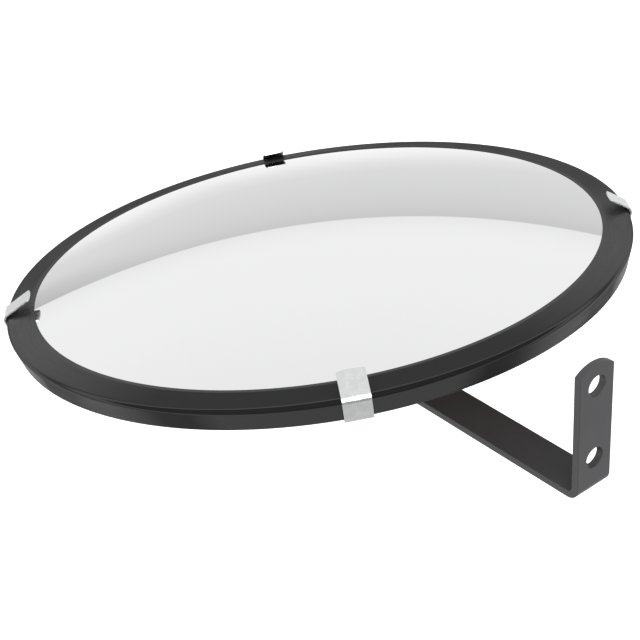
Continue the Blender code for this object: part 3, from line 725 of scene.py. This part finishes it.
def clip_path(tip_inset, tip_rise):
    """A clip's bent centre line as (radius, height), from its tip to its hook."""
    away = CLIP_GAP + CLIP_THICKNESS / 2
    lean = math.atan2(TRIM_TAPER, TRIM_DEPTH)
    side = Vector((math.cos(lean), -math.sin(lean))) * away
    crease = Vector((RIM_RADIUS, CREASE_HEIGHT)) + side
    corner = Vector((BACK_CORNER_RADIUS, TRIM_BACK)) + side
    down = (corner - crease).normalized()
    under = TRIM_BACK - away
    corner = crease + down * ((under - crease.y) / down.y)
    tip = Vector((RIM_RADIUS - tip_inset, CREASE_HEIGHT + tip_rise))
    hook = Vector((corner.x - CLIP_HOOK_LENGTH, under))
    bend = crease - down * CLIP_THICKNESS
    return rounded([tip, bend, corner, hook], [0, CLIP_BEND, CLIP_HOOK_BEND, 0], 14)


def build_clip(number, angle, tip_inset, tip_rise):
    """Strip bent over the trim: rounded corners and a slightly bowed edge at each end."""
    path = clip_path(tip_inset, tip_rise)
    lengths = [0.0]
    for one, other in zip(path, path[1:]):
        lengths.append(lengths[-1] + (other - one).length)
    total = lengths[-1]
    half = CLIP_WIDTH / 2
    stations = [CLIP_CORNER * (1 - math.cos(math.pi / 2 * k / 6)) for k in range(7)]
    inner = [s for s in lengths if CLIP_CORNER < s < total - CLIP_CORNER]
    stations = stations + inner + [total - s for s in stations[::-1]]

    def at(s):
        """Point and direction of the path at a length from its tip."""
        s = min(max(s, 0.0), total)
        for k in range(len(path) - 1):
            if s <= lengths[k + 1] or k == len(path) - 2:
                part = (s - lengths[k]) / (lengths[k + 1] - lengths[k])
                along = (path[k + 1] - path[k]).normalized()
                return path[k].lerp(path[k + 1], part), along

    shape = bmesh.new()
    columns = 12
    faces = ([], [])
    for s in stations:
        end = min(s, total - s)
        width = half
        if end < CLIP_CORNER:
            width = half - CLIP_CORNER
            width += math.sqrt(max(0.0, CLIP_CORNER ** 2 - (CLIP_CORNER - end) ** 2))
        rows = ([], [])
        for k in range(columns + 1):
            y = width * (2 * k / columns - 1)
            bowed = CLIP_BOW * (y / half) ** 2
            near_tip = max(0.0, 1 - s / CLIP_BOW_LENGTH)
            near_hook = max(0.0, 1 - (total - s) / CLIP_BOW_LENGTH)
            centre, along = at(s + bowed * near_tip - bowed * near_hook)
            out = Vector((along.y, -along.x)) * (CLIP_THICKNESS / 2)
            for row, sign in zip(rows, (1, -1)):
                point = centre - out * sign
                row.append(shape.verts.new((point.x, y, point.y)))
        for face, row in zip(faces, rows):
            face.append(row)
    count = len(stations)
    for face, turn in ((faces[0], 1), (faces[1], -1)):
        for i in range(count - 1):
            for k in range(columns):
                ring = [face[i][k], face[i][k + 1], face[i + 1][k + 1], face[i + 1][k]]
                shape.faces.new(ring[::turn])
    one, other = faces
    rim = [(i, 0) for i in range(count)] + [(count - 1, k) for k in range(1, columns + 1)]
    rim += [(i, columns) for i in range(count - 2, -1, -1)]
    rim += [(0, k) for k in range(columns - 1, 0, -1)]
    for (i, k), (j, m) in zip(rim, rim[1:] + rim[:1]):
        shape.faces.new((one[i][k], one[j][m], other[j][m], other[i][k]))
    turned = HEAD @ Matrix.Rotation(math.radians(angle), 4, "Z")
    clip = piece_of(f"clip_{number}", shape, turned, sharp=50)
    ease(clip, 0.00014, 2, 50)
    finish_piece(clip, f"rim_clip_{number}", "galvanised_strip")


build_mirror_face()
build_trim()
for clip_number, placing in enumerate(zip(CLIP_ANGLES, CLIP_TIP_INSETS, CLIP_TIP_RISES), 1):
    build_clip(clip_number, *placing)


# ---- wall bracket

def build_bracket():
    """Bar bent to an L, both ends rounded, with two wall holes and the pan bolt's hole."""
    low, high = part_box("wall_bracket")
    half = BAR_THICKNESS / 2
    reach = high.y - BAR_END_MARGIN
    arm = low.z + half
    path = rounded([(half, high.z * 1.5), (half, arm), (reach + 0.02, arm)],
                   [0, BAR_BEND_INSIDE + half, 0], 28)
    bar = prism("bent_bar", ribbon(path, BAR_THICKNESS), BAR_WIDTH, SIDE_VIEW)
    wide = BAR_WIDTH / 2 + 0.001
    spread = math.degrees(math.asin(wide / BAR_CROWN_RADIUS))
    crowned = []
    for start, end, placed in ((low.z * 2, high.z, STAND), (-0.01, high.y, None)):
        outline = [Vector((-wide, start)), Vector((wide, start))]
        outline += arc((0, end - BAR_CROWN_RADIUS), BAR_CROWN_RADIUS, 90 - spread, 90 + spread, 44)
        crowned.append(prism("cutter", outline, 1.0, placed))
    combine(bar, crowned, "INTERSECT")
    holes = [rod(WALL_HOLE_DIAMETER, 0.02, Matrix.Translation((0, half, z)) @ STAND, 96)
             for z in (-WALL_HOLE_SPACING / 2, WALL_HOLE_SPACING / 2)]
    holes.append(rod(PAN_BORE, 0.02, Matrix.Translation((0, reach, arm))))
    combine(bar, holes, "DIFFERENCE")
    ease(bar, 0.00050, 3, 40)
    finish_piece(bar, "wall_bracket", "black_paint")


build_bracket()


# ---- back of the mirror head

RIVET_PLACES = [(x * RIVET_SPACING_X / 2, y * RIVET_SPACING_Y / 2)
                for x in (-1, 1) for y in (-1, 1)]


def build_back_panel():
    """Flat disc with an eased edge. The ring beside the edge keeps its faces shaded flat."""
    radius = DOME_EDGE_RADIUS
    flat = radius - 0.002
    outline = [(0, PANEL_FRONT), (flat, PANEL_FRONT), (radius, PANEL_FRONT), (radius, PANEL_BACK),
               (flat, PANEL_BACK), (0, PANEL_BACK)]
    outline = rounded(outline, [0, 0, 0.0005, 0.0007, 0, 0], 5)
    panel = revolve("fibre_panel", outline, 240, closed=False)
    holes = [rod(RIVET_BORE, 0.02, Matrix.Translation((x, y, PANEL_BACK)), 40)
             for x, y in RIVET_PLACES]
    combine(panel, holes, "DIFFERENCE")
    finish_piece(moved(panel, HEAD), "back_panel", "hardboard")


def build_yoke():
    """Plate with two pressed ears; holes for rivets and for the tilt bolt."""
    half_x, half_y = YOKE_LENGTH / 2, YOKE_WIDTH / 2
    corners = [(half_x, half_y), (-half_x, half_y), (-half_x, -half_y), (half_x, -half_y)]
    root = YOKE_BACK + YOKE_THICKNESS / 2
    plate = prism("pressed_yoke", rounded(corners, [YOKE_CORNER] * 4, 14), YOKE_THICKNESS,
                  Matrix.Translation((0, 0, root)))
    ear = [Vector((YOKE_EAR_RADIUS, root)), Vector((-YOKE_EAR_RADIUS, root))]
    ear += arc((0, 0), YOKE_EAR_RADIUS, 180, 360, 40)
    across = FORK_GAP / 2 - EAR_CLEARANCE - YOKE_THICKNESS / 2
    ears = [prism("cutter", ear, YOKE_THICKNESS,
                  Matrix.Translation((side * across, 0, 0)) @ SIDE_VIEW) for side in (-1, 1)]
    combine(plate, ears, "UNION")
    holes = [rod(TILT_BORE, 0.05, TO_X)]
    holes += [rod(RIVET_BORE, 0.01, Matrix.Translation((x, y, root)), 40) for x, y in RIVET_PLACES]
    combine(plate, holes, "DIFFERENCE")
    ease(plate, 0.00025, 2, 40)
    finish_piece(moved(plate, HEAD), "mirror_yoke", "black_paint")


def build_rivet(number, x, y):
    """Domed head behind the yoke, shank, and a set tail on its burr inside the head."""
    head, shank, tail = RIVET_HEAD_DIAMETER / 2, RIVET_DIAMETER / 2, RIVET_TAIL_DIAMETER / 2
    head_face = YOKE_BACK - CLEARANCE
    tail_face = PANEL_FRONT + BURR_THICKNESS + 2 * CLEARANCE
    flat = 0.0001
    quarter = [math.radians(9 * k) for k in range(1, 11)]
    outline = [(0, tail_face + RIVET_TAIL_HEIGHT)]
    outline += [(tail * math.sin(a), tail_face + RIVET_TAIL_HEIGHT * (0.45 + 0.55 * math.cos(a)))
                for a in quarter[2:]]
    outline += [(tail, tail_face), (shank, tail_face), (shank, head_face),
                (head - flat, head_face), (head, head_face - flat)]
    outline += [(head * math.cos(a), head_face - flat - (RIVET_HEAD_HEIGHT - flat) * math.sin(a))
                for a in quarter[:-1]]
    outline.append((0, head_face - RIVET_HEAD_HEIGHT))
    place = HEAD @ Matrix.Translation((x, y, 0))
    rivet = revolve(f"dome_rivet_{number}", outline, 48, closed=False, placed=place)
    finish_piece(rivet, f"rivet_{number}", "rivet_metal")
    washer(f"rivet_ring_{number}", f"rivet_burr_{number}", "rivet_metal", BURR_DIAMETER,
           RIVET_BORE, PANEL_FRONT + CLEARANCE, BURR_THICKNESS, place)


build_back_panel()
build_yoke()
for rivet_number, rivet_place in enumerate(RIVET_PLACES, 1):
    build_rivet(rivet_number, *rivet_place)


# ---- swivel and its bolts

def extent(name, axis):
    """Lowest and highest of a CAD node along an axis, from the tilt axis."""
    low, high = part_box(name)
    return low[axis] - TILT_AXIS[axis], high[axis] - TILT_AXIS[axis]


def build_fork():
    """Strip bent to a U, ears rounded about the tilt axis."""
    base = extent("swivel_fork", 2)[0]
    half = FORK_THICKNESS / 2
    outer = FORK_GAP / 2 + half
    floor = base + half
    bend = FORK_BEND_INSIDE + half
    path = rounded([(-outer, FORK_DEPTH), (-outer, floor), (outer, floor), (outer, FORK_DEPTH)],
                   [0, bend, bend, 0], 16)
    fork = prism("bent_fork", ribbon(path, FORK_THICKNESS), FORK_DEPTH, STAND)
    wide = FORK_DEPTH / 2
    clear = wide + 0.001
    outline = [Vector((-clear, base * 2)), Vector((clear, base * 2)), Vector((clear, -wide * 0.3))]
    outline += arc((0, 0), wide * 1.03, 0, 180, 56) + [Vector((-clear, -wide * 0.3))]
    combine(fork, [prism("cutter", outline, 0.1, SIDE_VIEW)], "INTERSECT")
    holes = [rod(TILT_BORE, 0.1, TO_X), rod(PAN_BORE, 0.01, Matrix.Translation((0, 0, floor)))]
    combine(fork, holes, "DIFFERENCE")
    ease(fork, 0.00030, 3, 40)
    finish_piece(moved(fork, SWIVEL), "swivel_fork", "black_paint")


def bolt_of(name, across, diameter, pitch, low, seat, high, smooth_from, placed):
    """Hexagon head from seat up to high, and a threaded shank from low up into the head."""
    head = moved(hexagon("cutter", across, high - seat), Matrix.Translation((0, 0, seat)))
    shank = threaded("cutter", diameter, pitch, low, seat + 0.0005, smooth_from)
    return joined(name, [head, shank], placed)


def build_pan_stack():
    """Bolt down through the fork and the arm, a washer each side, and a lock nut below."""
    low, high = extent("pan_bolt", 2)
    seat = extent("swivel_fork", 2)[0] + FORK_THICKNESS + CLEARANCE
    bolt = bolt_of("pan_bolt_threaded", PAN_HEAD_ACROSS, PAN_BOLT_DIAMETER, PAN_THREAD_PITCH,
                   low, seat, high, seat - 0.0075, SWIVEL)
    finish_piece(bolt, "pan_bolt", "zinc_plate")

    for name, node, slot, outer in (
            ("nylon_disc", "pan_washer_upper", "white_nylon", PAN_WASHER_DIAMETER),
            ("steel_disc", "pan_washer_lower", "zinc_plate", NUT_WASHER_DIAMETER)):
        under, over = extent(node, 2)
        washer(name, node, slot, outer, PAN_BORE, under, over - under, SWIVEL)

    under, over = extent("pan_lock_nut", 2)
    tall = over - under
    nut = hexagon("cutter", PAN_HEAD_ACROSS, tall * 0.72)
    bore, inner, outer = PAN_BORE / 2, PAN_HEAD_ACROSS * 0.36, PAN_HEAD_ACROSS * 0.46
    collar = [(bore, 0.0002), (outer, 0.0002), (outer, tall), (inner, tall),
              (inner, tall - 0.0004), (bore, tall - 0.0004)]
    rounds = [0, 0, 0.0007, 0.0001, 0.0001, 0]
    combine(nut, [revolve("cutter", rounded(collar, rounds, 5), 72)], "UNION")
    combine(nut, [rod(PAN_BORE, 0.03, Matrix.Identity(4))], "DIFFERENCE")
    flip = Matrix.Translation((0, 0, over)) @ Matrix.Rotation(math.radians(180), 4, "X")
    finish_piece(moved(nut, SWIVEL @ flip), "pan_lock_nut", "zinc_plate")


def build_tilt_bolt():
    low, high = extent("tilt_bolt", 0)
    seat = extent("tilt_washer_head", 0)[1] + CLEARANCE
    bolt = bolt_of("tilt_bolt_threaded", TILT_HEAD_ACROSS, TILT_BOLT_DIAMETER, TILT_THREAD_PITCH,
                   low, seat, high, -0.004, SWIVEL @ TO_X)
    finish_piece(bolt, "tilt_bolt", "zinc_plate")


def build_tilt_washers():
    """A plain washer at each end of the tilt bolt, and a split one under the wing nut."""
    low, high = extent("tilt_washer_head", 0)
    washer("head_disc", "tilt_washer_head", "zinc_plate", TILT_WASHER_DIAMETER, TILT_BORE, low,
           high - low, SWIVEL @ TO_X)
    low, high = extent("tilt_washer_nut", 0)
    washer("nut_disc", "tilt_washer_nut", "zinc_plate", TILT_WASHER_DIAMETER, TILT_BORE, -high,
           high - low, SWIVEL @ TO_MINUS_X)

    low, high = extent("tilt_lock_washer", 0)
    top = -low - LOCK_WASHER_SPRING
    inner, outer = TILT_BORE / 2, LOCK_WASHER_DIAMETER / 2
    section = [(inner, top), (outer, top), (outer, -high), (inner, -high)]
    ring = revolve("spring_ring", rounded(section, [0.0001] * 4, 3), 72, first=6, last=354,
                   placed=SWIVEL @ TO_MINUS_X, rise=LOCK_WASHER_SPRING)
    finish_piece(ring, "tilt_lock_washer", "zinc_plate")


def build_wing_nut():
    """Coned hub with two rounded wings."""
    base, top = WING_HUB_DIAMETER / 2, WING_HUB_TOP_DIAMETER / 2
    bore = TILT_BORE / 2
    hub = [(bore, WING_HUB_HEIGHT), (top, WING_HUB_HEIGHT), (base, 0), (bore, 0)]
    nut = revolve("cast_wing_nut", rounded(hub, [0.0003, 0.0006, 0.0004, 0.0002], 6), 72)
    reach, rise = WING_SPAN / 2, WING_HUB_HEIGHT + WING_RISE
    corners = [(base * 0.75, 0.0018), (reach * 0.55, 0.0030), (reach, WING_HUB_HEIGHT * 0.75),
               (reach, rise), (reach * 0.62, rise), (base * 0.75, WING_HUB_HEIGHT * 0.82)]
    outline = rounded(corners, [0, 0.003, 0.0030, 0.0022, 0.0022, 0], 12)
    wings = []
    for side in (0, 180):
        turn = Matrix.Rotation(math.radians(side), 4, "Z")
        wing = prism("cutter", outline, WING_THICKNESS, turn @ STAND)
        wings.append(ease(wing, 0.0007, 4, 40))
    combine(nut, wings, "UNION")
    ease(nut, 0.0003, 3, 50)
    placed = SWIVEL @ TO_MINUS_X @ Matrix.Translation((0, 0, -extent("wing_nut", 0)[1]))
    finish_piece(moved(nut, placed), "wing_nut", "zinc_plate")


build_fork()
build_pan_stack()
build_tilt_bolt()
build_tilt_washers()
build_wing_nut()


# ---- floor, light and camera

# Lengths in metres, directions, linear tones, and ramps as (position, tone)
FLOOR_HEIGHT = -0.42
FLOOR_RADIUS = 9.0
OVERHEAD = (-0.325, -0.117, 0.938)
CAMERA_SIDE = (-0.588, -0.809, 0.0)
LIGHT_TONES = [(0.0, 0.885), (0.05, 0.94), (0.10, 0.96), (0.30, 0.95), (0.5, 0.905), (1.0, 0.90)]
BAND_TONES = [(0.0, 1.0), (0.25, 0.995), (0.367, 0.93), (0.467, 0.828), (0.567, 0.763),
              (0.667, 0.747), (0.80, 0.724), (0.917, 0.686), (1.0, 0.635)]
BLACK = (0.0, 0.0, 0.0)
NADIR_GREY = (0.66, 0.66, 0.66)
FRONT_GREY = (0.36, 0.36, 0.36)
BACKDROP = (1.1, 1.1, 1.1)
FILL_POWER = 2.1
FILL_SPREAD = 50
FILL_FROM = (-0.50, -0.69, 0.44)
SENSOR_WIDTH = 36.0
LENS = 78.99
CAMERA_PLACE = (-0.35454, -0.30440, 0.34144)
CAMERA_RIGHT = (0.77857, -0.62327, -0.07333)
CAMERA_FORWARD = (0.50049, 0.68716, -0.52662)


def build_floor():
    """Pale disc far under the part, left out of reflections and of bounced light."""
    shape = bmesh.new()
    bmesh.ops.create_circle(shape, cap_ends=True, segments=96, radius=FLOOR_RADIUS)
    floor = piece_of("studio_floor", shape, Matrix.Translation((0, 0, FLOOR_HEIGHT)))
    material, graph, shader, where = new_material("pale_floor")
    mottle = graph.noise(where, 3.0, 3.0)
    tone = graph.mix(mottle, (0.80, 0.80, 0.80), (0.83, 0.83, 0.83))
    graph.feed(shader, {"Base Color": tone, "Roughness": 0.8, "Emission Color": tone,
                        "Emission Strength": 0.85})
    floor.data.materials.append(material)
    floor.visible_glossy = False
    floor.visible_diffuse = False


def build_world():
    """What the mirror reflects, by direction, and the white backdrop that the camera sees.

    An overhead light ends in a straight edge, with a band under it that goes from grey to white.
    The camera's side is dark, and so is the floor beneath it.
    """
    world = bpy.data.worlds.new("studio")
    bpy.context.scene.world = world
    world.use_nodes = True
    graph = Graph(world.node_tree)
    way = graph.node("TexCoord").outputs["Generated"]
    parts = graph.node("SeparateXYZ", {"Vector": way}).outputs

    def fade(value, low, high):
        return graph.spread(value, low, high, smooth=True)

    above = graph.dot(way, OVERHEAD)
    azimuth = graph.math("ARCTAN2", parts["X"], parts["Y"])
    steeper = graph.spread(azimuth, math.radians(30), math.radians(16), 1.0, 1.65, smooth=True)
    below = graph.spread(graph.math("MULTIPLY", above, steeper), -0.6, 0.0)
    left = graph.math("MULTIPLY", fade(azimuth, math.radians(24), math.radians(2)),
                      fade(above, -0.12, -0.04))
    band = graph.ramp(below, BAND_TONES)
    band = graph.mix(graph.math("MULTIPLY", left, 0.30), band, BLACK)
    sky = graph.mix(graph.spread(above, -0.0015, 0.0015), band, graph.ramp(above, LIGHT_TONES))

    level = graph.node("VectorMath", {0: graph.stretched(way, 1, 1, 0)}, operation="NORMALIZE")
    facing = graph.dot(level.outputs[0], CAMERA_SIDE)
    height = parts["Z"]
    nadir = graph.math("MULTIPLY", fade(facing, -0.3, 0.3), fade(height, -0.4, -0.6))
    front = graph.math("MULTIPLY", fade(facing, 0.55, 0.85), fade(height, 0.88, 0.80))
    front = graph.math("MULTIPLY", front, fade(height, -0.70, -0.55))
    sky = graph.mix(nadir, sky, NADIR_GREY)
    sky = graph.mix(front, sky, FRONT_GREY)
    seen = graph.node("LightPath").outputs["Is Camera Ray"]
    graph.feed(world.node_tree.nodes["Background"], {"Color": graph.mix(seen, sky, BACKDROP)})


def build_fill():
    """A wide soft light from beside the camera, which reaches under the mirror."""
    data = bpy.data.lights.new("fill", "SUN")
    data.energy = FILL_POWER
    data.angle = math.radians(FILL_SPREAD)
    lamp = bpy.data.objects.new("fill", data)
    bpy.context.scene.collection.objects.link(lamp)
    lamp.rotation_euler = Vector(FILL_FROM).to_track_quat("Z", "Y").to_euler()


def build_camera():
    """The photo's camera: its place, and axes squared up from the two that were measured."""
    data = bpy.data.cameras.new("camera")
    data.sensor_width = SENSOR_WIDTH
    data.lens = LENS
    data.clip_start = 0.01
    camera = bpy.data.objects.new("camera", data)
    bpy.context.scene.collection.objects.link(camera)
    right = Vector(CAMERA_RIGHT).normalized()
    forward = Vector(CAMERA_FORWARD)
    forward = (forward - right * forward.dot(right)).normalized()
    up = right.cross(forward)
    turn = Matrix((right, up, -forward)).transposed().to_4x4()
    camera.matrix_world = Matrix.Translation(CAMERA_PLACE) @ turn
    bpy.context.scene.camera = camera


build_floor()
build_world()
build_fill()
build_camera()
bpy.context.scene.view_settings.view_transform = "Standard"
bpy.context.scene.view_settings.look = "None"
